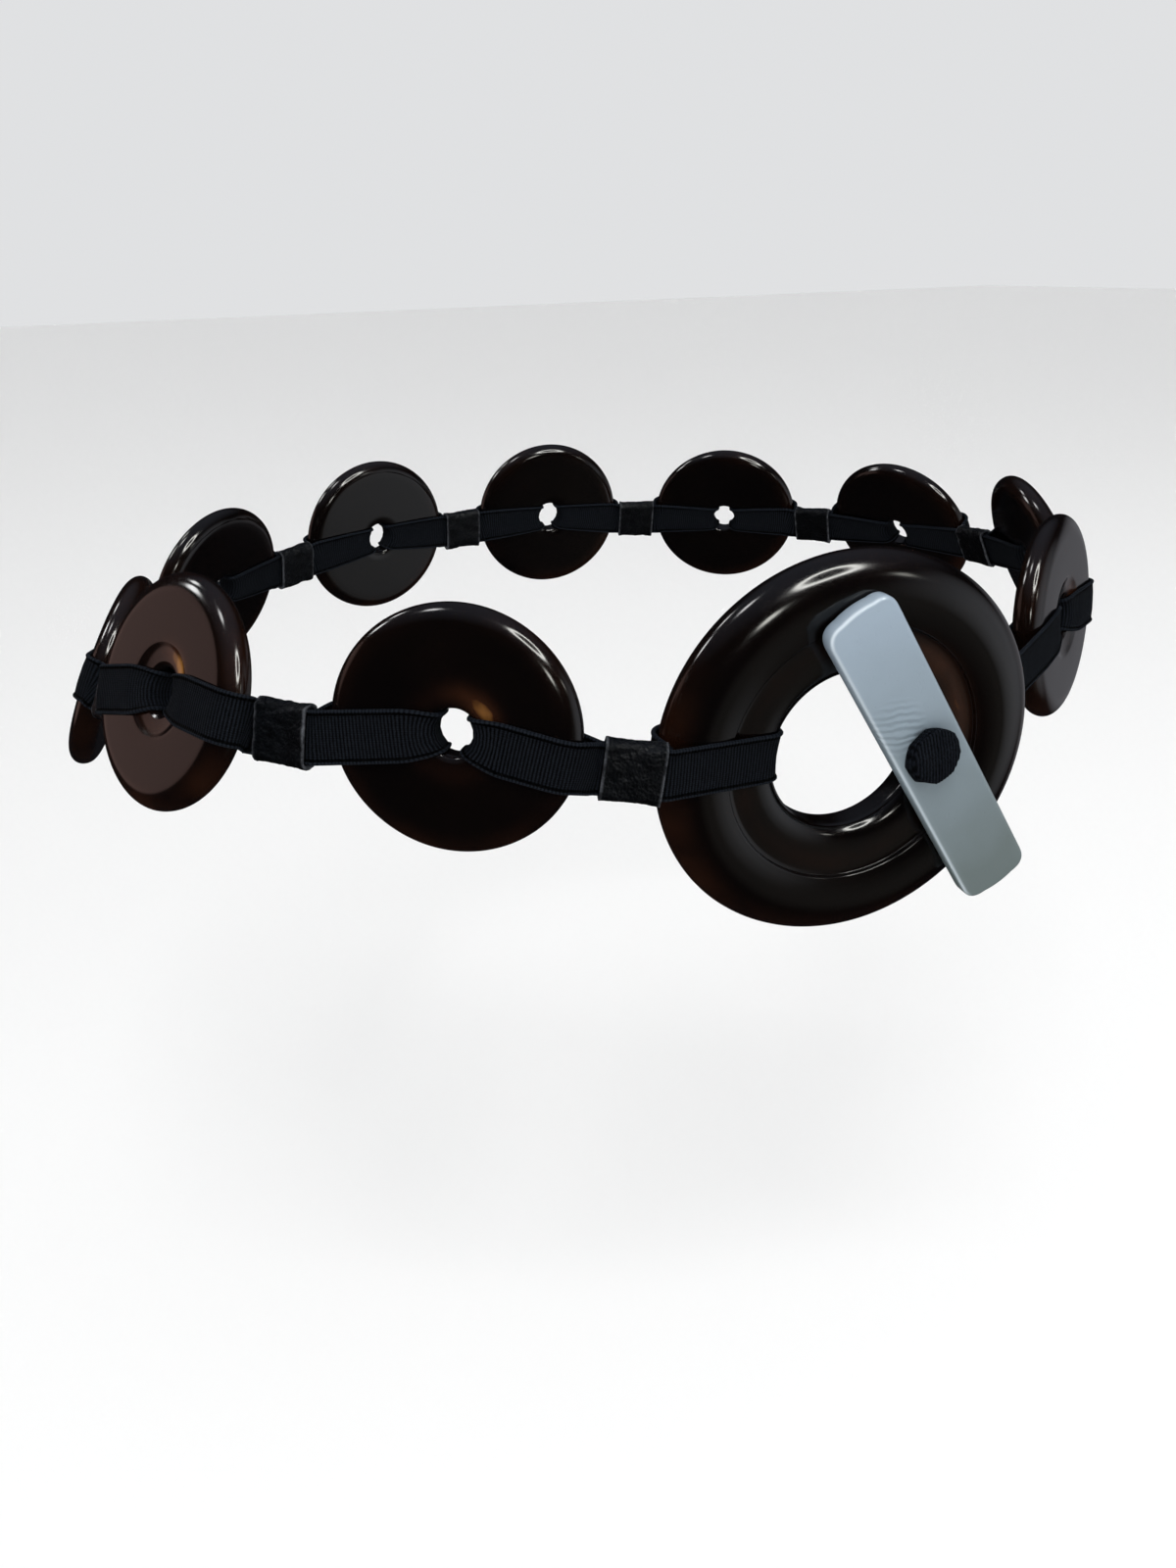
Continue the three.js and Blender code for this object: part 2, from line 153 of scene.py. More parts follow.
# Profiles from the hole outwards over the front, as radius and height in millimetres.
# Each inner list is one smooth stretch, and two stretches meet in an edge that shows.
DISC_FRONT = [
    [(5.75, 0.0), (5.75, 1.2), (6.1, 2.2), (7.2, 2.9)],
    [(7.2, 2.9), (8.6, 3.08), (10.4, 3.4), (12.1, 3.96)],
    [(12.1, 3.96), (12.8, 4.02), (18.0, 4.05), (24.0, 4.0)],
]
DISC_BACK = [[(5.75, 0.0), (5.75, -2.4), (6.0, -3.4), (7.0, -4.0)], [(7.0, -4.0), (26.0, -4.0)]]
RING_FRONT = [
    [
        (20.75, 0.0),
        (20.8, 0.6),
        (21.4, 1.9),
        (23.2, 3.15),
        (26.0, 3.85),
        (29.0, 4.0),
        (32.6, 4.05),
        (33.7, 4.3),
    ],
    [(33.7, 4.3), (34.1, 5.3)],
    [(34.1, 5.3), (36.5, 5.92), (39.0, 6.36), (41.0, 6.5)],
]
RING_BACK = [[(20.75, 0.0), (20.75, -3.9), (21.0, -5.6), (22.4, -6.5)], [(22.4, -6.5), (44.5, -6.5)]]

# Rim is how far in the front's round begins, and dish is the middle and spread of the band with a painted
# glow of light shining through the horn.
DISC = {"radius": DISC_RADIUS, "half": DISC_HALF_THICK, "hole": DISC_HOLE_RADIUS}
DISC.update({"front": DISC_FRONT, "back": DISC_BACK, "steps": DISC_STEPS, "rim": 6.0, "dish": (9.6, 2.6)})
RING = {"radius": RING_RADIUS, "half": RING_HALF_THICK, "hole": RING_HOLE_RADIUS}
RING.update({"front": RING_FRONT, "back": RING_BACK, "steps": RING_STEPS, "rim": 10.0, "dish": (30.0, 3.0)})

# name, kind, lean, turn, rise as a share of the disc's radius
SEATS = [
    ("ring", RING, -1, -10, -0.335),
    ("disc_1", DISC, 5, -7, 0.17),
    ("disc_2", DISC, 23.5, -6, 0.24),
    ("disc_3", DISC, 25, -3, -0.27),
    ("disc_4", DISC, 18, 0, -0.1),
    ("disc_5", DISC, 8, 0, 0.05),
    ("disc_6", DISC, 8, 0, 0.05),
    ("disc_7", DISC, 18, 0, -0.05),
    ("disc_8", DISC, 26, 0, -0.05),
    ("disc_9", DISC, 23, 0, 0.1),
    ("disc_10", DISC, 6.5, -4, 0.09),
]
KEEPER_SLIDES = [1.2, -1, 0, 0, 0, 0, 0, 0, 0, 0]
KEEPER_LIFTS = [1, 0.7, 0.3, 0.1, 0.2, 0.2, 0.2, 0.2, 0.2, 0.2]

# How warm each disc's horn shows, from nearly black to amber brown
WARMTH = {"ring": 0.5, "disc_1": 0.55, "disc_2": 1.0, "disc_3": 0.7, "disc_10": 0.35}
PLAIN_WARMTH = 0.4
# The dish's warmth towards the glow angle and the rim's warmth on the side facing away from it are painted
# glow, light shining through the horn from one side; the other warmths and the clouds are the horn's own
# brown tone.
PAINTED_GLOW_ANGLE = 40
DISH_WARMTH = 0.1
RIM_WARMTH = 0.08
RIM_PAINTED_GLOW_FACING_AWAY = 0.3
RIM_WARMTH_CLOUDS = 0.2
LEAST_WARMTH = 0.02
RIM_WARM_FROM = 0.72
DISC_WAVINESS = 0.004

# Colours, as linear shares of red, green and blue
HORN_DEEP = ((0.0006, 0.0005, 0.0006), (0.0024, 0.0015, 0.0012))
HORN_BROWN = (0.026, 0.0085, 0.0034)
# The amber is mostly painted glow, light shining through thin horn.
HORN_AMBER_GLOW = (0.36, 0.155, 0.035)
# The cloth's darkest colour is painted shade in the rib gaps and grooves.
CLOTH_HOLLOW_SHADE = (0.0001, 0.0002, 0.0004)
ELASTIC_LIGHT = (0.0115, 0.0145, 0.0200)
KNOB_LIGHT = (0.0095, 0.0120, 0.0170)
LEATHER_SKIN = ((0.0002, 0.0003, 0.0006), (0.0028, 0.0038, 0.0055))
LEATHER_CUT = (0.075, 0.080, 0.090)
# The bar's upper and lower colours are one resin, lit and in painted shade.
TOGGLE_LIT_UPPER = (0.340, 0.420, 0.505)
TOGGLE_SHADED_LOWER = (0.135, 0.168, 0.168)
# The bar's edge colour is a painted highlight.
TOGGLE_EDGE_HIGHLIGHT = (0.66, 0.74, 0.80)
FLOOR_COLOUR = (0.965, 0.96, 0.95)
BACKDROP_COLOUR = (0.955, 0.965, 0.98)
BACKDROP_STRENGTH = 0.78

# The camera's place in metres, its yaw, pitch and roll, and its lens and sensor in millimetres
CAMERA_PLACE = (-0.18028, -0.34256, 0.10524)
CAMERA_TURN = (26.62, -24.376, -1.281)
CAMERA_LENS = 27
CAMERA_SENSOR = 36

# The floor's half width and height in metres, and the soft lamps: name, place, size in metres and power
FLOOR_REACH = 8.0
FLOOR_LEVEL = -0.24
LAMPS = [("key", (-0.5, -0.9, 1.5), 0.9, 13), ("fill", (1.2, -0.8, 0.9), 0.9, 4)]

layer_step = (ELASTIC_THICK + FIT_GAP) / 2
keeper_mouth = KEEPER_LENGTH / 2 + KEEPER_MOUTH_RUN
keeper_slot_half = ELASTIC_THICK + 1.5 * FIT_GAP


def unit(vector):
    return vector / max(np.linalg.norm(vector), 1e-9)


def smooth_step(low, high, value):
    share = np.clip((value - low) / (high - low), 0, 1)
    return share * share * (3 - 2 * share)


# A smooth run through points, finer by a number of steps between each two.
def smooth_run(points, steps):
    points = np.array(points, float)
    if len(points) < 3:
        share = np.linspace(0, 1, steps + 1)[:, None]
        return points[0] + (points[-1] - points[0]) * share
    padded = np.vstack([2 * points[0] - points[1], points, 2 * points[-1] - points[-2]])
    rows = []
    for index in range(1, len(padded) - 2):
        before, start, end, after = padded[index - 1 : index + 3]
        span = np.linalg.norm(end - start)
        way_in = (end - before) * span / (span + np.linalg.norm(start - before))
        way_out = (after - start) * span / (span + np.linalg.norm(after - end))
        for share in np.arange(steps) / steps:
            square, cube = share**2, share**3
            rows.append(
                (2 * cube - 3 * square + 1) * start
                + (cube - 2 * square + share) * way_in
                + (3 * square - 2 * cube) * end
                + (cube - square) * way_out
            )
    rows.append(points[-1])
    return np.array(rows)


def face_points(kind, side, steps):
    runs = kind["front"] if side > 0 else kind["back"]
    rows = [smooth_run(run, steps) for run in runs]
    return np.vstack([rows[0]] + [row[1:] for row in rows[1:]])


# The rim is a broad round on the front and a half round on the back.
def rim_points(kind, side):
    wide = kind["rim"] if side > 0 else kind["half"]
    angles = np.radians(np.linspace(90, 0, RIM_STEPS + 1)[1:])
    radii = kind["radius"] - wide + wide * np.cos(angles)
    return np.stack([radii, side * kind["half"] * np.sin(angles)], axis=1)


# The ellipse through the discs' centres, as long as the whole chain, walked leftwards from the front.
def belt_line(length):
    angles = np.linspace(0, 2 * math.pi, LINE_SAMPLES)
    points = np.stack([-np.sin(angles) * WIDTH_TO_DEPTH, -np.cos(angles)], axis=1)
    walked = np.concatenate([[0], np.cumsum(np.linalg.norm(np.diff(points, axis=0), axis=1))])
    scale = length / walked[-1]
    walked = walked * scale
    points = points * scale

    def at(place):
        place = place % length
        here = np.array([np.interp(place, walked, points[:, axis]) for axis in (0, 1)] + [0.0])
        angle = np.interp(place, walked, angles)
        tangent = unit(np.array([-math.cos(angle) * WIDTH_TO_DEPTH, math.sin(angle), 0.0]))
        return here, np.cross(UP, tangent)

    return at


def gap_after(index):
    if index == 0:
        return RING_GAP_LEFT
    return RING_GAP_RIGHT if index == len(SEATS) - 1 else DISC_GAP


def seat_discs():
    places = [0.0]
    for index, seat in enumerate(SEATS):
        following = SEATS[(index + 1) % len(SEATS)]
        places.append(places[-1] + seat[1]["radius"] + gap_after(index) + following[1]["radius"])
    line = belt_line(places[-1])
    discs = []
    for (name, kind, lean, turn, rise), place in zip(SEATS, places):
        centre, outward = line(place)
        turned = np.array(Matrix.Rotation(math.radians(turn), 3, "Z") @ Vector(outward))
        face = turned * math.cos(math.radians(lean)) + UP * math.sin(math.radians(lean))
        centre[2] = rise * DISC_RADIUS
        discs.append({"name": name, "kind": kind, "centre": centre, "face": face, "place": place})
    return discs, line


def axes_at(centre, way, face):
    out = unit(face)
    along = unit(way - out * np.dot(way, out))
    across = np.cross(out, along)
    if across[2] < 0:
        across = -across
    return {"centre": centre, "along": along, "across": across, "out": out}


def point_on(axes, along, out, across=0.0):
    return axes["centre"] + axes["along"] * along + axes["out"] * out + axes["across"] * across


def keeper_axes(discs, line, index):
    before, after = discs[index], discs[index + 1]
    gap = gap_after(index)
    room = (gap - KEEPER_LENGTH) / 2 - FIT_GAP
    slid = KEEPER_SLIDES[index] * room
    point, outward = line(before["place"] + before["kind"]["radius"] + gap / 2 - slid)
    lift = keeper_slot_half + KEEPER_WALL - DISC_HALF_THICK + KEEPER_LIFTS[index] * KEEPER_LIFT
    point = point + outward * lift
    point[2] = (before["centre"][2] + after["centre"][2]) / 2 - KEEPER_DROP
    return axes_at(point, after["centre"] - before["centre"], before["face"] + after["face"])


def bends_in(first, second, third, side):
    turn = (second[0] - first[0]) * (third[1] - second[1]) - (second[1] - first[1]) * (third[0] - second[0])
    return side * turn < 0


# The step away from the disc at each point of a path that keeps a lifted copy parallel to it.
def away_from(points, side):
    runs = np.diff(np.array(points, float), axis=0)
    normals = np.stack([-side * runs[:, 1], side * runs[:, 0]], axis=1)
    normals /= np.maximum(np.linalg.norm(normals, axis=1), 1e-9)[:, None]
    total = np.vstack([normals[:1], normals]) + np.vstack([normals, normals[-1:]])
    return 2 * total / np.maximum((total**2).sum(axis=1), 0.5)[:, None]


# The middle line of taut elastic over one face. It bridges every hollow, and leaves the disc where the way to
# the goal is free.
def taut_line(kind, side, goal, off):
    face = face_points(kind, side, TAUT_STEPS)
    surface = np.vstack([face, rim_points(kind, side), rim_points(kind, -side)[-2::-1]])
    lifted = surface + away_from(surface, side) * off
    line = []
    for point in lifted:
        while len(line) > 1 and not bends_in(line[-2], line[-1], point, side):
            line.pop()
        line.append(point)
    for index in range(1, len(line) - 1):
        if not bends_in(line[index], line[index + 1], goal, side):
            return np.array(line[: index + 1] + [goal])
    return np.array(line + [goal])


# One station of an elastic's middle line: its place, the ways it faces, goes across and goes along, the share
# of its facing in the disc's plane, its half width, and how sharply it curls round the hole.
def station(axes, along, out, across, away, half_width, curl):
    facing = axes["along"] * away[0] + axes["out"] * away[1]
    place = point_on(axes, along, out, across)
    return np.concatenate([place, facing, axes["across"], axes["along"], [away[0], half_width, curl]])


def curl_at(kind, along):
    start, end = (kind["hole"] + step for step in UNCURL_RUN)
    return (1 - smooth_step(start, end, along)) / max(along, 1.0)


def half_width_at(kind, along):
    start, end = (kind["hole"] + step for step in SPREAD_RUN)
    in_hole = min(ELASTIC_WIDTH / 2, kind["hole"] * WIDTH_IN_HOLE_SHARE * math.radians(CURL_LIMIT))
    return in_hole + (ELASTIC_WIDTH / 2 - in_hole) * float(smooth_step(start, end, along))


def disc_stations(kind, axes, side, goal, off):
    line = taut_line(kind, side, goal, off)
    aways = away_from(line, side)
    return [
        station(axes, along, out, 0, unit(away), half_width_at(kind, along), curl_at(kind, along))
        for (along, out), away in zip(line[:-1], aways)
    ]


def place_in(axes, point):
    offset = point - axes["centre"]
    return np.array([np.dot(offset, axes["along"]), np.dot(offset, axes["out"])])


def keeper_stations(axes, side):
    return [
        station(axes, along, side * layer_step, 0, (0, side), ELASTIC_WIDTH / 2, 0.0)
        for along in (-keeper_mouth, keeper_mouth)
    ]


def loop_stations(before, after, keeper):
    lift = ELASTIC_THICK / 2 + SEAT_GAP
    start = axes_at(before["centre"], keeper["centre"] - before["centre"], before["face"])
    end = axes_at(after["centre"], keeper["centre"] - after["centre"], after["face"])

    def side_of(disc, axes, side, keeper_end):
        goal = place_in(axes, point_on(keeper, keeper_end * keeper_mouth, side * layer_step))
        return disc_stations(disc["kind"], axes, side, goal, lift)

    return (
        side_of(before, start, 1, -1)
        + keeper_stations(keeper, 1)
        + side_of(after, end, 1, 1)[::-1]
        + side_of(after, end, -1, 1)[1:]
        + keeper_stations(keeper, -1)[::-1]
        + side_of(before, start, -1, -1)[:0:-1]
    )


def bar_axes(ring):
    right = axes_at(ring["centre"], np.array([1.0, 0, 0]), ring["face"])
    centre = point_on(right, RING_HOLE_RADIUS - BAR_INSIDE_HOLE_EDGE, RING_HALF_THICK + FIT_GAP, BAR_RISE)
    turn = Matrix.Rotation(math.radians(BAR_ANGLE), 3, Vector(right["out"]))
    return axes_at(centre, np.array(turn @ Vector(right["along"])), ring["face"])


def toggle_stations(disc, ring, bar):
    kind = ring["kind"]
    axes = axes_at(ring["centre"], disc["centre"] - ring["centre"], ring["face"])
    bar_along = float(np.dot(bar["centre"] - ring["centre"], axes["along"]))
    bar_across = float(np.dot(bar["centre"] - ring["centre"], axes["across"]))
    stack = ELASTIC_THICK / 2 + FIT_GAP + layer_step
    start = np.array([kind["radius"], -kind["half"] - stack])
    behind = taut_line(kind, -1, start, stack)[::-1]
    seat = kind["half"] + FIT_GAP
    bar_half = math.sqrt((BAR_HOLE_RADIUS - FIT_GAP) ** 2 - (layer_step + ELASTIC_THICK / 2) ** 2)
    tip = seat + BAR_THICK - ELASTIC_THICK / 2 - layer_step
    route = [(along, out, 0.0, ELASTIC_WIDTH / 2, True) for along, out in behind]
    route += [(bar_along, seat, bar_across, bar_half, False), (bar_along, tip, bar_across, bar_half, False)]
    aways = away_from([row[:2] for row in route], -1)

    def layer(side):
        rows = []
        for (along, out, across, half_width, curls), away in zip(route, aways):
            step = np.array(unit(away)) * side
            radial = along + step[0] * layer_step
            curl = curl_at(kind, radial) if curls else 0.0
            rows.append(station(axes, radial, out + step[1] * layer_step, across, step, half_width, curl))
        return rows

    end = station(axes, bar_along, tip + layer_step, bar_across, (0, 1), bar_half, 0.0)
    disc_axes = axes_at(disc["centre"], point_on(axes, *start) - disc["centre"], disc["face"])

    def disc_side(side):
        goal = place_in(disc_axes, point_on(axes, start[0], start[1] + side * layer_step))
        return disc_stations(disc["kind"], disc_axes, side, goal, ELASTIC_THICK / 2 + SEAT_GAP)

    return disc_side(1) + layer(1) + [end] + layer(-1)[::-1] + disc_side(-1)[:0:-1]


# Samples a closed run of stations at an even step, and rounds its corners.
def even_stations(stations):
    rows = np.array(stations + stations[:1])
    walked = np.concatenate([[0], np.cumsum(np.linalg.norm(np.diff(rows[:, :3], axis=0), axis=1))])
    keep = np.concatenate([[True], np.diff(walked) > 1e-6])
    rows, walked = rows[keep], walked[keep]
    ribs = round(walked[-1] / RIB_PITCH)
    count = ribs * RIB_STEPS
    places = np.arange(count) / count * walked[-1]
    even = [np.interp(places, walked, rows[:, column]) for column in range(rows.shape[1])]
    even = np.stack(even, axis=1)
    reach = max(1, round(SMOOTH_MM / (walked[-1] / count)))
    padded = np.vstack([even[-reach:], even, even[:reach]])
    weights = np.hanning(2 * reach + 3)[1:-1]
    weights /= weights.sum()
    smooth = [np.convolve(padded[:, column], weights, "valid") for column in range(even.shape[1])]
    return np.stack(smooth, axis=1), walked[-1], ribs


# Across the elastic: the share of the half width, and the share of the half thickness there.
BAND_SHARES = [-1, -0.97, -0.92, -0.87, -0.82, -0.4, 0, 0.4, 0.82, 0.87, 0.92, 0.97, 1]
BAND_HEIGHTS = [0.35, 0.95, 1.1, 0.9, 0.55, 0.9, 0.92, 0.9, 0.55, 0.9, 1.1, 0.95, 0.35]


def across_path(vectors, tangent):
    vectors = vectors - tangent * (vectors * tangent).sum(axis=1)[:, None]
    return vectors / np.maximum(np.linalg.norm(vectors, axis=1), 1e-9)[:, None]


# The grid of points of one elastic, and the length of its middle line.
def band_points(stations):
    rows, length, ribs = even_stations(stations)
    count = len(rows)
    middle, along = rows[:, 0:3], rows[:, 9:12]
    in_plane, half, curl = rows[:, 12], rows[:, 13], rows[:, 14]
    tangent = np.roll(middle, -1, axis=0) - np.roll(middle, 1, axis=0)
    tangent /= np.linalg.norm(tangent, axis=1)[:, None]
    facing = across_path(rows[:, 3:6], tangent)
    across = across_path(rows[:, 6:9], tangent)
    radius = 1 / np.maximum(curl, 1e-5)
    wave = 0.5 + 0.5 * np.cos(np.arange(count) / RIB_STEPS * 2 * math.pi)
    points = np.zeros((count, 2 * len(BAND_SHARES), 3))
    for column, (share, height) in enumerate(zip(BAND_SHARES, BAND_HEIGHTS)):
        angle = share * half / radius
        bend = across * np.sin(angle)[:, None] + along * (np.cos(angle) - 1)[:, None]
        base = middle + bend * radius[:, None]
        turned = facing + bend * in_plane[:, None]
        turned /= np.linalg.norm(turned, axis=1)[:, None]
        thick = ELASTIC_THICK / 2 * height * (1 - RIB_DEPTH * wave)
        points[:, column] = base + turned * thick[:, None]
        points[:, -1 - column] = base - turned * thick[:, None]
    return points, length, ribs


# A mesh from a grid of points: columns go round, and rows go round too or else end in a cap at each end.
def grid_mesh(name, points, uv=None, warm=None, edge=None, closed_rows=True):
    rows, columns = points.shape[:2]
    index = np.arange(rows * columns).reshape(rows, columns)
    beside = np.roll(index, -1, axis=1)
    quads = np.stack([index, beside, np.roll(beside, -1, axis=0), np.roll(index, -1, axis=0)], axis=-1)
    caps = []
    if not closed_rows:
        quads = quads[:-1]
        caps = [index[0][::-1], index[-1]]
    quads = quads.reshape(-1, 4)
    flat = points.reshape(-1, 3)
    corners = flat[quads]
    volume = np.einsum("ij,ij->i", corners[:, 0], np.cross(corners[:, 1], corners[:, 2])).sum()
    volume += np.einsum("ij,ij->i", corners[:, 0], np.cross(corners[:, 2], corners[:, 3])).sum()
    if volume < 0:
        quads = quads[:, ::-1]
        caps = [cap[::-1] for cap in caps]
    mesh = bpy.data.meshes.new(name)
    mesh.from_pydata((flat * MM).tolist(), [], quads.tolist() + [cap.tolist() for cap in caps])
    mesh.shade_smooth()
    if uv is not None:
        layer = mesh.uv_layers.new(name="weave")
        flat_uv = np.array(uv).reshape(-1, 2)
        corner_uv = flat_uv[quads]
        if closed_rows:
            seam = np.ptp(corner_uv[:, :, 0], axis=1) > rows / 2 / RIB_STEPS
            corner_uv[:, :, 0] += np.where(seam[:, None] & (corner_uv[:, :, 0] < 1), rows / RIB_STEPS, 0)
        every = np.vstack([corner_uv.reshape(-1, 2)] + [flat_uv[cap] for cap in caps])
        layer.data.foreach_set("uv", every.reshape(-1).tolist())
    for key, values in (("warm", warm), ("edge", edge)):
        if values is not None:
            attribute = mesh.attributes.new(key, "FLOAT", "POINT")
            attribute.data.foreach_set("value", np.asarray(values, float).reshape(-1).tolist())
    piece = bpy.data.objects.new(name, mesh)
    bpy.context.collection.objects.link(piece)
    return piece


def finish_piece(piece, material, slot, *nodes):
    piece.data.materials.append(material)
    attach(piece, "root")
    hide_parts(*nodes)
    return piece


def outline_of(kind):
    front = face_points(kind, 1, FACE_STEPS)
    back = face_points(kind, -1, FACE_STEPS)
    return np.vstack([front, rim_points(kind, 1), rim_points(kind, -1)[-2::-1], back[::-1][:-1]])


# A lathe-turned disc facing its own way, with a slight hand-polished unevenness.
def make_disc(disc, material, seed):
    kind = disc["kind"]
    outline = outline_of(kind)
    axes = axes_at(disc["centre"], np.cross(UP, disc["face"]), disc["face"])
    angles = np.arange(kind["steps"]) / kind["steps"] * 2 * math.pi
    points = np.zeros((len(angles), len(outline), 3))
    warm = np.zeros(points.shape[:2])
    middle, spread = kind["dish"]
    dish = np.exp(-(((outline[:, 0] - middle) / spread) ** 2)) * (outline[:, 1] > 0)
    rim = smooth_step(RIM_WARM_FROM, 1.0, (outline[:, 0] - kind["hole"]) / (kind["radius"] - kind["hole"]))
    for row, angle in enumerate(angles):
        radial = axes["along"] * math.cos(angle) + axes["across"] * math.sin(angle)
        spot = Vector((math.cos(angle) * 1.3 + seed * 7.1, math.sin(angle) * 1.3, seed * 3.3))
        # Painted glow: the dish turns amber towards the glow angle and the rim turns brown on the side facing
        # away, as light shining through the horn would; the base warmth and the noise clouds are the horn's
        # own tone.
        towards = math.cos(angle - math.radians(PAINTED_GLOW_ANGLE))
        glow = max(0.0, towards) ** 3
        clouds = RIM_WARMTH_CLOUDS * noise.noise(spot)
        patch = RIM_WARMTH + RIM_PAINTED_GLOW_FACING_AWAY * max(0.0, -towards) + clouds
        wobble = 1 + DISC_WAVINESS * noise.noise(spot * 0.8 + Vector((5, 5, 0)))
        points[row] = disc["centre"] + radial * (outline[:, :1] * wobble) + axes["out"] * outline[:, 1:]
        warm[row] = np.clip(dish * (glow + DISH_WARMTH) + rim * max(patch, 0.0) + LEAST_WARMTH, 0, 1)
    warm *= WARMTH.get(disc["name"], PLAIN_WARMTH)
    piece = grid_mesh(disc["name"] + "_horn", points, warm=warm)
    return finish_piece(piece, material, "horn", disc["name"])


def make_band(name, stations, material):
    points, length, ribs = band_points(stations)
    rows, columns = points.shape[:2]
    across = [(share + 1) / 2 for share in BAND_SHARES]
    across = across + across[::-1]
    uv = np.zeros((rows, columns, 2))
    uv[:, :, 0] = (np.arange(rows) / RIB_STEPS)[:, None]
    uv[:, :, 1] = np.array(across)[None, :]
    piece = grid_mesh(name + "_weave", points, uv=uv)
    return finish_piece(piece, material, "elastic", name), length


# A rounded rectangle as a closed run of points, evenly spaced.
def rounded_rectangle(half_long, half_high, corner, count):
    points = []
    for sign_x, sign_y, start in ((1, -1, -90), (1, 1, 0), (-1, 1, 90), (-1, -1, 180)):
        for angle in np.linspace(start, start + 90, 9):
            x = sign_x * (half_long - corner) + corner * math.cos(math.radians(angle))
            y = sign_y * (half_high - corner) + corner * math.sin(math.radians(angle))
            points.append((x, y))
    return even_outline(points, count)


def even_outline(points, count):
    points = np.array(points + points[:1])
    walked = np.concatenate([[0], np.cumsum(np.linalg.norm(np.diff(points, axis=0), axis=1))])
    places = np.arange(count) / count * walked[-1]
    return np.stack([np.interp(places, walked, points[:, axis]) for axis in (0, 1)], axis=1)


# A folded strip of leather round the elastic: creased skin, cut ends, hollow inside.
def make_keeper(name, axes, material, seed):
    slot = np.array([ELASTIC_WIDTH / 2 + FIT_GAP, keeper_slot_half])
    reach = slot + KEEPER_WALL
    outer = rounded_rectangle(*reach, KEEPER_CORNER, KEEPER_STEPS_ROUND)
    inner = rounded_rectangle(*slot, KEEPER_SLOT_CORNER, KEEPER_STEPS_ROUND)
    middle = (outer + inner) / 2
    half = KEEPER_LENGTH / 2
    rows, edge = [], []

    def skin(outline, along, creased, cut):
        ring = []
        pinch = PINCH_FLARE * (abs(along) / half) ** 2 - PINCH_DEPTH
        for u, v in outline:
            spot = Vector((along * 0.16 + seed * 11.3, u * 0.22, v * 0.3))
            fine = abs(noise.noise(spot * 3.4 + Vector((3, 1, 7))))
            crease = (noise.noise(spot * 1.6) - fine) * CREASE_DEPTH
            fold = 0.0
            if v > 0:
                fold = -FOLD_DEPTH * math.exp(-(((u - FOLD_PLACE + FOLD_SLANT * along) / FOLD_WIDTH) ** 2))
            push = unit(np.array([u, v]) / reach) * (crease + fold + pinch) * creased
            ring.append(point_on(axes, along, v + push[1], u + push[0]))
        rows.append(ring)
        edge.append([cut] * len(outline))

    for along in np.linspace(-half, half, KEEPER_STEPS_ALONG):
        skin(outer, along, 1.0, smooth_step(half - CUT_EDGE[0], half - CUT_EDGE[1], abs(along)))
    skin(middle, half + CUT_ROUND, 0.5, 1.0)
    skin(inner, half - CUT_EDGE[1], 0.0, 1.0)
    skin(inner, half - SKIN_TURNED_IN, 0.0, 0.0)
    skin(inner, SKIN_TURNED_IN - half, 0.0, 0.0)
    skin(inner, CUT_EDGE[1] - half, 0.0, 1.0)
    skin(middle, -half - CUT_ROUND, 0.5, 1.0)
    piece = grid_mesh(name + "_leather", np.array(rows), edge=np.array(edge))
    return finish_piece(piece, material, "leather", name)


# The bar's outline: crowned ends and rounded corners, with the hole's centre as its middle.
def bar_outline():
    half_long, half_wide = BAR_LENGTH / 2, BAR_WIDTH / 2
    outline = []

    def bend(start, control, end):
        for share in np.linspace(0, 1, 13)[:-1]:
            a, b, c = (1 - share) ** 2, 2 * share * (1 - share), share**2
            outline.append(tuple(a * start[axis] + b * control[axis] + c * end[axis] for axis in (0, 1)))

    for sign in (1, -1):
        tip, shoulder = half_long * sign, (half_long - BAR_END_CROWN) * sign
        side, corner = half_wide * sign, BAR_CORNER * sign
        bend((shoulder - corner, -side), (shoulder, -side), (shoulder, -side + corner))
        bend((shoulder, -side + corner), (tip, 0), (shoulder, side - corner))
        bend((shoulder, side - corner), (shoulder, side), (shoulder - corner, side))
        for share in np.linspace(0, 1, 40)[:-1]:
            outline.append(((shoulder - corner) * (1 - 2 * share), side))
    return even_outline(outline, BAR_STEPS) + (BAR_HOLE_OFF_MIDDLE, 0)


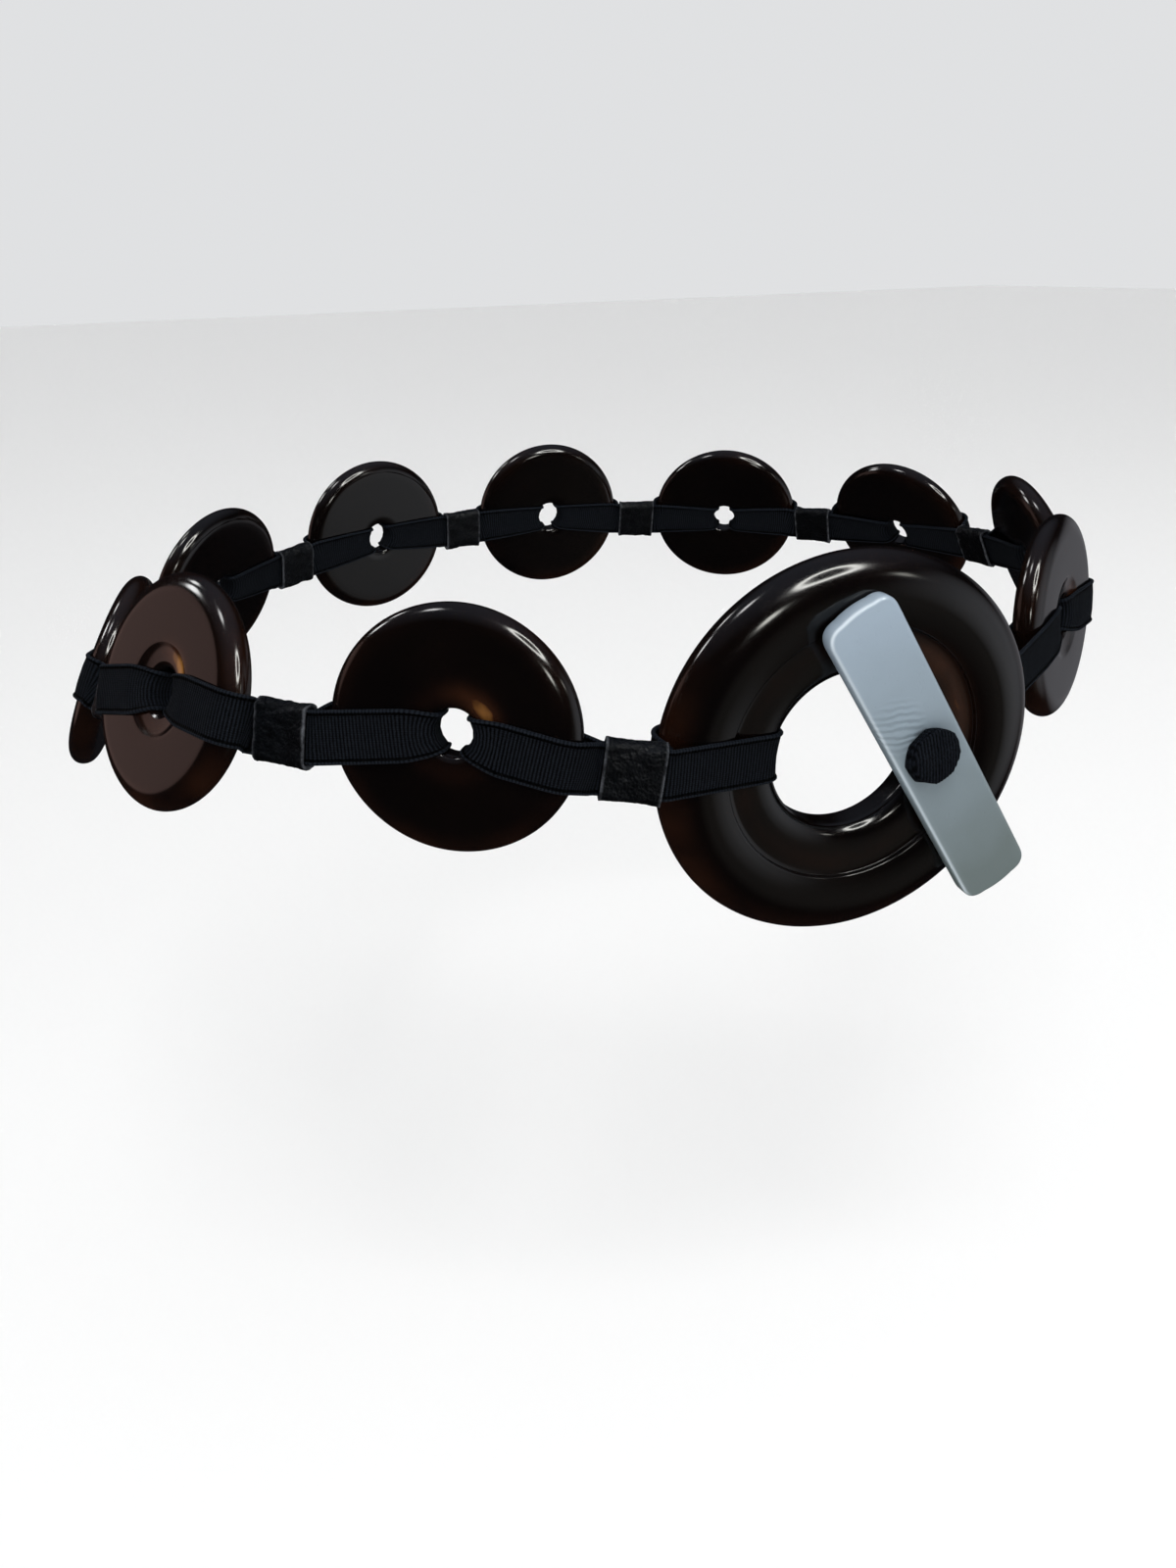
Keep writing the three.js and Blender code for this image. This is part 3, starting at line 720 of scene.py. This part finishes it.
# The bar: a flat face with a slight crown, softly eased edges, and a hole.
def make_bar(bar, material):
    outline = bar_outline()
    across = np.cross(bar["out"], bar["along"])
    ahead = np.roll(outline, -1, axis=0) - np.roll(outline, 1, axis=0)
    ahead /= np.linalg.norm(ahead, axis=1)[:, None]
    inward = np.stack([-ahead[:, 1], ahead[:, 0]], axis=1)
    inward *= np.sign(-(inward * outline).sum(axis=1).mean())
    outward = -np.outer(inward[:, 0], bar["along"]) - np.outer(inward[:, 1], across)
    # Painted highlight: the edge value makes the round of the edges that face the light paler.
    lit = np.clip(outward @ BAR_EDGE_LIT_FROM, 0, 1)
    angles = np.arctan2(outline[:, 1], outline[:, 0])
    hole = np.stack([np.cos(angles), np.sin(angles)], axis=1) * BAR_HOLE_RADIUS
    flat_edge = outline + inward * BAR_EASE
    rows, edge = [], []

    def loop(flat, height, shine=0.0):
        flat_rows = np.outer(flat[:, 0], bar["along"]) + np.outer(flat[:, 1], across)
        rows.append(bar["centre"] + flat_rows + bar["out"] * height)
        edge.append(lit * shine)

    for share, flare in ((0, BAR_HOLE_FLARE), (0.5, 1.0), (1, BAR_HOLE_FLARE)):
        loop(hole * flare, BAR_THICK * share)
    for share in BAR_FACE_SHARES:
        loop(hole + (flat_edge - hole) * share, BAR_THICK + BAR_CROWN)
    for angle in np.linspace(90, -90, 13):
        sine, cosine = math.sin(math.radians(angle)), math.cos(math.radians(angle))
        side = (BAR_THICK / 2 - BAR_EASE) * np.sign(sine) * min(1, abs(sine) * 9)
        shine = math.exp(-(((angle - BAR_EDGE_LIT_ANGLE) / BAR_EDGE_LIT_SPREAD) ** 2))
        loop(outline + inward * BAR_EASE * (1 - cosine), BAR_THICK / 2 + side + BAR_EASE * sine, shine)
    for share in BAR_FACE_SHARES[::-1]:
        loop(hole + (flat_edge - hole) * share, -BAR_CROWN)
    piece = grid_mesh("toggle_bar_body", np.array(rows), edge=np.array(edge))
    return finish_piece(piece, material, "toggle", "toggle_bar")


# The knob: elastic folded in layers into a soft-cornered octagon, with ribs aslant on its face.
# The lower layers peep out towards the lower left.
def make_knob(bar, material):
    foot = point_on(bar, 0, BAR_THICK + KNOB_SEAT)
    x, y = bar["along"], np.cross(bar["out"], bar["along"])
    low_left = np.array(KNOB_PEEP_WAY)
    peep = unit(low_left - bar["out"] * np.dot(bar["out"], low_left)) * KNOB_PEEP
    angles = np.arange(KNOB_STEPS) / KNOB_STEPS * 2 * math.pi
    layers = np.array(KNOB_LAYERS)
    shares = np.arange(KNOB_LAYER_STEPS)[:, None] / KNOB_LAYER_STEPS
    between = [low * (1 - shares) + high * shares for low, high in zip(layers[:-1], layers[1:])]
    rows, uv = [], []
    for height, width in np.vstack(between + [layers[-1:]]):
        octagon = 1 / np.cos((angles + 0.25 + height * 0.25) % (math.pi / 4) - math.pi / 8) ** 0.6
        uneven = 1 + 0.012 * np.sin(3 * angles + 1.1 + height) + 0.008 * np.sin(5 * angles + 4 * height)
        radius = KNOB_RADIUS * KNOB_WIDTH_SHARE * width * octagon * uneven
        flat_x, flat_y = radius * np.cos(angles), radius * np.sin(angles)
        slant = flat_x * 0.35 + flat_y * 0.94
        level = np.full(KNOB_STEPS, height * KNOB_HEIGHT - 0.3)
        if height > KNOB_FACE_FROM:
            level += KNOB_RIB_DEPTH * np.cos(slant / RIB_PITCH * 2 * math.pi)
            level += KNOB_FOLD_DEPTH * smooth_step(-0.6, 0.2, flat_x - 0.3 * flat_y + 2.2)
            level -= 0.3 * (np.hypot(flat_x, flat_y) / KNOB_RADIUS) ** 2
        flat = (np.outer(flat_x, x) + np.outer(flat_y, y)) * KNOB_STRETCH
        rows.append(foot + peep * (1 - height) + flat + np.outer(np.maximum(level, 0.0), bar["out"]))
        uv.append(np.stack([slant / RIB_PITCH, np.full(KNOB_STEPS, 0.5)], axis=1))
    piece = grid_mesh("toggle_knob_folds", np.array(rows), uv=np.array(uv), closed_rows=False)
    return finish_piece(piece, material, "elastic", "toggle_knob")


# Small helpers for node trees
def new_material(name):
    material = bpy.data.materials.new(name)
    material.use_nodes = True
    return material, material.node_tree, material.node_tree.nodes["Principled BSDF"]


def add(tree, kind, **values):
    node = tree.nodes.new(kind)
    for key, value in values.items():
        setattr(node, key, value)
    return node


def mix_colour(tree, factor, first, second):
    node = add(tree, "ShaderNodeMix", data_type="RGBA")
    tree.links.new(factor, node.inputs[0])
    for socket, value in ((node.inputs[6], first), (node.inputs[7], second)):
        if isinstance(value, tuple):
            socket.default_value = (*value, 1)
        else:
            tree.links.new(value, socket)
    return node.outputs[2]


def maths(tree, operation, first, second=None):
    node = add(tree, "ShaderNodeMath", operation=operation)
    for socket, value in zip(node.inputs, (first, second)):
        if value is None:
            continue
        if isinstance(value, (int, float)):
            socket.default_value = value
        else:
            tree.links.new(value, socket)
    return node.outputs[0]


def ramp(tree, factor, low, high):
    node = add(tree, "ShaderNodeMapRange")
    node.inputs["From Min"].default_value = low
    node.inputs["From Max"].default_value = high
    tree.links.new(factor, node.inputs["Value"])
    return node.outputs["Result"]


def noise_of(tree, scale, detail):
    node = add(tree, "ShaderNodeTexNoise")
    node.inputs["Scale"].default_value = scale
    node.inputs["Detail"].default_value = detail
    tree.links.new(add(tree, "ShaderNodeTexCoord").outputs["Object"], node.inputs["Vector"])
    return node.outputs["Fac"]


def bump(tree, shader, height, strength, distance):
    node = add(tree, "ShaderNodeBump")
    node.inputs["Strength"].default_value = strength
    node.inputs["Distance"].default_value = distance
    tree.links.new(height, node.inputs["Height"])
    tree.links.new(node.outputs["Normal"], shader.inputs["Normal"])


# Polished horn: nearly black, brown and then amber as the mesh's warmth rises; the brown is the horn's own
# tone and the amber is mostly painted glow of light shining through it.
def horn_material():
    material, tree, shader = new_material("horn")
    warm = add(tree, "ShaderNodeAttribute", attribute_name="warm").outputs["Fac"]
    cloud = maths(tree, "ADD", ramp(tree, noise_of(tree, 60, 5), 0.3, 0.65), 0.3)
    factor = maths(tree, "MULTIPLY", warm, cloud)
    deep = mix_colour(tree, noise_of(tree, 34, 3), *HORN_DEEP)
    brown = mix_colour(tree, ramp(tree, factor, 0.0, 0.45), deep, HORN_BROWN)
    colour = mix_colour(tree, ramp(tree, factor, 0.45, 1.0), brown, HORN_AMBER_GLOW)
    tree.links.new(colour, shader.inputs["Base Color"])
    tree.links.new(ramp(tree, noise_of(tree, 900, 3), -1.6, 14.0), shader.inputs["Roughness"])
    shader.inputs["IOR"].default_value = 1.54
    bump(tree, shader, noise_of(tree, 45, 2), 0.05, 0.001)
    return material


# The weave's own place: the wave of its ribs, and the share of its width.
def weave_of(tree):
    split = add(tree, "ShaderNodeSeparateXYZ")
    tree.links.new(add(tree, "ShaderNodeUVMap", uv_map="weave").outputs["UV"], split.inputs[0])
    wave = maths(tree, "COSINE", maths(tree, "MULTIPLY", split.outputs["X"], 2 * math.pi))
    return wave, split.outputs["Y"]


# Matt cloth, dark where its height is below the low value and at its lightest above the high one: painted
# shade in the hollows and lighter ridges, from the same height that makes the bump.
def finish_cloth(tree, shader, height, low, high, light):
    colour = mix_colour(tree, ramp(tree, height, low, high), CLOTH_HOLLOW_SHADE, light)
    tree.links.new(colour, shader.inputs["Base Color"])
    shader.inputs["Roughness"].default_value = 0.8
    shader.inputs["Specular IOR Level"].default_value = 0.06
    bump(tree, shader, height, 0.6, 0.0002)


# Ribbed elastic: ribs and threads, a groove and a raised cord along each edge, and pale flecks. Its colour
# follows the height, so the rib gaps and the groove carry painted shade, while the pale flecks are the
# thread's own colour.
def elastic_material():
    material, tree, shader = new_material("elastic")
    wave, width_share = weave_of(tree)
    rib = ramp(tree, wave, 0.9, -0.6)
    thread = maths(tree, "SINE", maths(tree, "MULTIPLY", width_share, 2 * math.pi * 24))
    from_middle = maths(tree, "ABSOLUTE", maths(tree, "SUBTRACT", width_share, 0.5))
    cord = ramp(tree, from_middle, 0.42, 0.455)
    groove = maths(tree, "SUBTRACT", ramp(tree, from_middle, 0.385, 0.405), cord)
    height = maths(tree, "ADD", maths(tree, "MULTIPLY", rib, 0.55), maths(tree, "MULTIPLY", thread, 0.12))
    flecks = ramp(tree, noise_of(tree, 2600, 3), 0.35, 0.75)
    height = maths(tree, "ADD", height, maths(tree, "MULTIPLY", flecks, 0.35))
    height = maths(tree, "ADD", height, maths(tree, "MULTIPLY", cord, 0.35))
    height = maths(tree, "SUBTRACT", height, maths(tree, "MULTIPLY", groove, 0.9))
    finish_cloth(tree, shader, height, 0.15, 1.1, ELASTIC_LIGHT)
    return material


# The same cloth folded into the knob: finer ribs among fibres, with no edges that show. Its colour follows
# the height, so the gaps between the ribs carry painted shade.
def knob_material():
    material, tree, shader = new_material("folded_elastic")
    wave = weave_of(tree)[0]
    fibres = maths(tree, "MULTIPLY", ramp(tree, noise_of(tree, 2200, 4), 0.3, 0.75), 0.5)
    height = maths(tree, "ADD", fibres, maths(tree, "MULTIPLY", ramp(tree, wave, -1.0, 1.0), 0.5))
    finish_cloth(tree, shader, height, 0.15, 0.85, KNOB_LIGHT)
    return material


# Grained black leather, paler on its cut edges.
def leather_material():
    material, tree, shader = new_material("leather")
    edge = add(tree, "ShaderNodeAttribute", attribute_name="edge").outputs["Fac"]
    grain = add(tree, "ShaderNodeTexVoronoi")
    grain.inputs["Scale"].default_value = 1300
    tree.links.new(add(tree, "ShaderNodeTexCoord").outputs["Object"], grain.inputs["Vector"])
    worn = maths(tree, "MULTIPLY", edge, ramp(tree, noise_of(tree, 500, 3), 0.25, 0.6))
    skin = mix_colour(tree, noise_of(tree, 240, 5), *LEATHER_SKIN)
    colour = mix_colour(tree, worn, skin, LEATHER_CUT)
    tree.links.new(colour, shader.inputs["Base Color"])
    tree.links.new(ramp(tree, noise_of(tree, 300, 3), -0.8, 1.8), shader.inputs["Roughness"])
    shader.inputs["Specular IOR Level"].default_value = 0.2
    creases = maths(tree, "MULTIPLY", noise_of(tree, 330, 4), 2.4)
    height = maths(tree, "ADD", grain.outputs["Distance"], creases)
    bump(tree, shader, height, 0.6, 0.0004)
    return material


# Grey-blue resin with painted shade that darkens it towards its lower end and a painted highlight on its lit
# edges, with faint ripples by the knob and fine scratches.
def toggle_material(bar):
    material, tree, shader = new_material("toggle")
    place = add(tree, "ShaderNodeTexCoord").outputs["Object"]

    def along(way, middle):
        node = add(tree, "ShaderNodeVectorMath", operation="DOT_PRODUCT")
        offset = add(tree, "ShaderNodeVectorMath", operation="SUBTRACT")
        offset.inputs[1].default_value = tuple(middle * MM)
        node.inputs[1].default_value = tuple(way)
        tree.links.new(place, offset.inputs[0])
        tree.links.new(offset.outputs["Vector"], node.inputs[0])
        return node.outputs["Value"]

    # Painted shade: the colour darkens towards the bar's lower end, where less light falls; the noise cloud
    # is the resin's own uneven tone.
    down = bar["along"] if bar["along"][2] < 0 else -bar["along"]
    lower = ramp(tree, along(down, bar["centre"]), -0.040, 0.042)
    cloud = maths(tree, "MULTIPLY", noise_of(tree, 38, 3), 0.35)
    shade = maths(tree, "ADD", maths(tree, "MULTIPLY", lower, 0.85), cloud)
    colour = mix_colour(tree, shade, TOGGLE_LIT_UPPER, TOGGLE_SHADED_LOWER)
    # Painted highlight: the lit eased edges are painted paler.
    edge = add(tree, "ShaderNodeAttribute", attribute_name="edge").outputs["Fac"]
    colour = mix_colour(tree, edge, colour, TOGGLE_EDGE_HIGHLIGHT)
    tree.links.new(colour, shader.inputs["Base Color"])
    shader.inputs["Roughness"].default_value = 0.3
    shader.inputs["IOR"].default_value = 1.5
    marks = point_on(bar, 0, BAR_THICK, -RIPPLES_TO_THE_LEFT) - down * RIPPLES_UP_THE_BAR
    near = add(tree, "ShaderNodeVectorMath", operation="DISTANCE")
    near.inputs[1].default_value = tuple(marks * MM)
    tree.links.new(place, near.inputs[0])
    spot = ramp(tree, near.outputs["Value"], 0.0085, 0.0045)
    ripple = add(tree, "ShaderNodeTexWave", wave_type="BANDS", bands_direction="Z")
    for key, value in (("Scale", 170), ("Distortion", 5), ("Detail", 2), ("Detail Scale", 0.9)):
        ripple.inputs[key].default_value = value
    tree.links.new(place, ripple.inputs["Vector"])
    scratch = ramp(tree, noise_of(tree, 700, 6), 0.62, 0.8)
    marked = maths(tree, "MULTIPLY", ripple.outputs["Fac"], spot)
    height = maths(tree, "ADD", marked, maths(tree, "MULTIPLY", noise_of(tree, 110, 2), 0.5))
    bump(tree, shader, maths(tree, "SUBTRACT", height, maths(tree, "MULTIPLY", scratch, 0.25)), 0.45, 0.0006)
    return material


def add_lamp(name, place, size, power):
    light = bpy.data.lights.new(name, "AREA")
    light.size = size
    light.energy = power
    lamp = bpy.data.objects.new(name, light)
    lamp.location = place
    lamp.rotation_euler = (-Vector(place)).to_track_quat("-Z", "Y").to_euler()
    lamp.visible_glossy = False
    bpy.context.collection.objects.link(lamp)


def add_camera():
    yaw, pitch, roll = (math.radians(angle) for angle in CAMERA_TURN)
    way = Vector((math.sin(yaw) * math.cos(pitch), math.cos(yaw) * math.cos(pitch), math.sin(pitch)))
    level = Vector((math.cos(yaw), -math.sin(yaw), 0))
    upward = level.cross(way)
    right = level * math.cos(roll) + upward * math.sin(roll)
    upright = upward * math.cos(roll) - level * math.sin(roll)
    data = bpy.data.cameras.new("camera")
    data.sensor_width = CAMERA_SENSOR
    data.lens = CAMERA_LENS
    camera = bpy.data.objects.new("camera", data)
    turn = Matrix((right, upright, -way)).transposed()
    camera.matrix_world = Matrix.Translation(CAMERA_PLACE) @ turn.to_4x4()
    bpy.context.collection.objects.link(camera)
    bpy.context.scene.camera = camera


def add_floor():
    mesh = bpy.data.meshes.new("floor")
    sides = ((-1, -1), (1, -1), (1, 1), (-1, 1))
    corners = [(x * FLOOR_REACH, y * FLOOR_REACH, FLOOR_LEVEL) for x, y in sides]
    mesh.from_pydata(corners, [], [(0, 1, 2, 3)])
    material, _, shader = new_material("floor")
    shader.inputs["Base Color"].default_value = (*FLOOR_COLOUR, 1)
    shader.inputs["Roughness"].default_value = 0.9
    mesh.materials.append(material)
    floor = bpy.data.objects.new("floor", mesh)
    floor.visible_glossy = False
    bpy.context.collection.objects.link(floor)


# What the gloss mirrors: soft pale patches and small lamps in a dim room. Each has the way round from the
# front, the way up, the angles at which it is full and gone, its colour, and the angle of a ring lamp's dark
# middle.
ROOM = [
    (55, -4, 10, 34, (0.47, 0.49, 0.53), 0),
    (33, -21, 6, 30, (0.10, 0.10, 0.09), 0),
    (102, -9, 12, 24, (0.25, 0.25, 0.27), 0),
    (-130, 5, 15, 19, (0.42, 0.27, 0.24), 0),
    (0, 90, 20, 65, (0.17, 0.19, 0.24), 0),
    (9, 45, 12.5, 14, (22, 22, 21), 10),
    (-8, 15, 3, 4, (14, 14, 13), 0),
    (31, 18, 2, 3, (6, 6, 5.5), 0),
    (-135, 32, 4, 6, (12, 12, 12), 0),
    (-151, 40, 3, 5, (10, 10, 10), 0),
    (-102, 62, 4, 6, (12, 12, 12), 0),
]
ROOM_SHADE = (0.009, 0.009, 0.011)


def way_of(round_degrees, up_degrees):
    around, up = math.radians(round_degrees), math.radians(up_degrees)
    return (math.sin(around) * math.cos(up), -math.cos(around) * math.cos(up), math.sin(up))


# The share of one patch of the room that is seen in each direction.
def patch_of(tree, direction, round_degrees, up_degrees, full, gone):
    node = add(tree, "ShaderNodeVectorMath", operation="DOT_PRODUCT")
    node.inputs[1].default_value = way_of(round_degrees, up_degrees)
    tree.links.new(direction, node.inputs[0])
    return ramp(tree, node.outputs["Value"], math.cos(math.radians(gone)), math.cos(math.radians(full)))


# A pale studio: the backdrop and the soft light are plain, and the gloss mirrors the dim room.
def add_studio():
    world = bpy.data.worlds.new("studio")
    world.use_nodes = True
    world.cycles.sampling_method = "NONE"
    bpy.context.scene.world = world
    tree = world.node_tree
    pale = tree.nodes["Background"]
    pale.inputs[0].default_value = (*BACKDROP_COLOUR, 1)
    pale.inputs[1].default_value = BACKDROP_STRENGTH
    direction = add(tree, "ShaderNodeTexCoord").outputs["Generated"]
    total = None
    for around, up, full, gone, colour, hollow in ROOM:
        share = patch_of(tree, direction, around, up, full, gone)
        if hollow:
            inside = patch_of(tree, direction, around, up, hollow - 1, hollow)
            share = maths(tree, "SUBTRACT", share, inside)
        seen = mix_colour(tree, share, (0.0, 0.0, 0.0), colour)
        both = add(tree, "ShaderNodeVectorMath", operation="ADD")
        if total is None:
            both.inputs[0].default_value = ROOM_SHADE
        else:
            tree.links.new(total, both.inputs[0])
        tree.links.new(seen, both.inputs[1])
        total = both.outputs["Vector"]
    room = add(tree, "ShaderNodeBackground")
    tree.links.new(total, room.inputs[0])
    both = add(tree, "ShaderNodeMixShader")
    tree.links.new(add(tree, "ShaderNodeLightPath").outputs["Is Glossy Ray"], both.inputs[0])
    tree.links.new(pale.outputs[0], both.inputs[1])
    tree.links.new(room.outputs[0], both.inputs[2])
    tree.links.new(both.outputs[0], tree.nodes["World Output"].inputs["Surface"])
    bpy.context.scene.view_settings.view_transform = "Standard"
    for lamp in LAMPS:
        add_lamp(*lamp)


add_camera()
discs, line = seat_discs()
horn = horn_material()
elastic = elastic_material()
leather = leather_material()
for number, disc in enumerate(discs):
    make_disc(disc, horn, number + 1)
lengths = {}
for number in range(1, len(discs)):
    keeper = keeper_axes(discs, line, number - 1)
    stations = loop_stations(discs[number - 1], discs[number], keeper)
    lengths[f"elastic_{number}"] = make_band(f"elastic_{number}", stations, elastic)[1]
    make_keeper(f"keeper_{number}", keeper, leather, number)
bar = bar_axes(discs[0])
lengths["toggle_elastic"] = make_band("toggle_elastic", toggle_stations(discs[-1], discs[0], bar), elastic)[1]
make_bar(bar, toggle_material(bar))
make_knob(bar, knob_material())
add_floor()
add_studio()

print({name: round(length, 1) for name, length in lengths.items()})
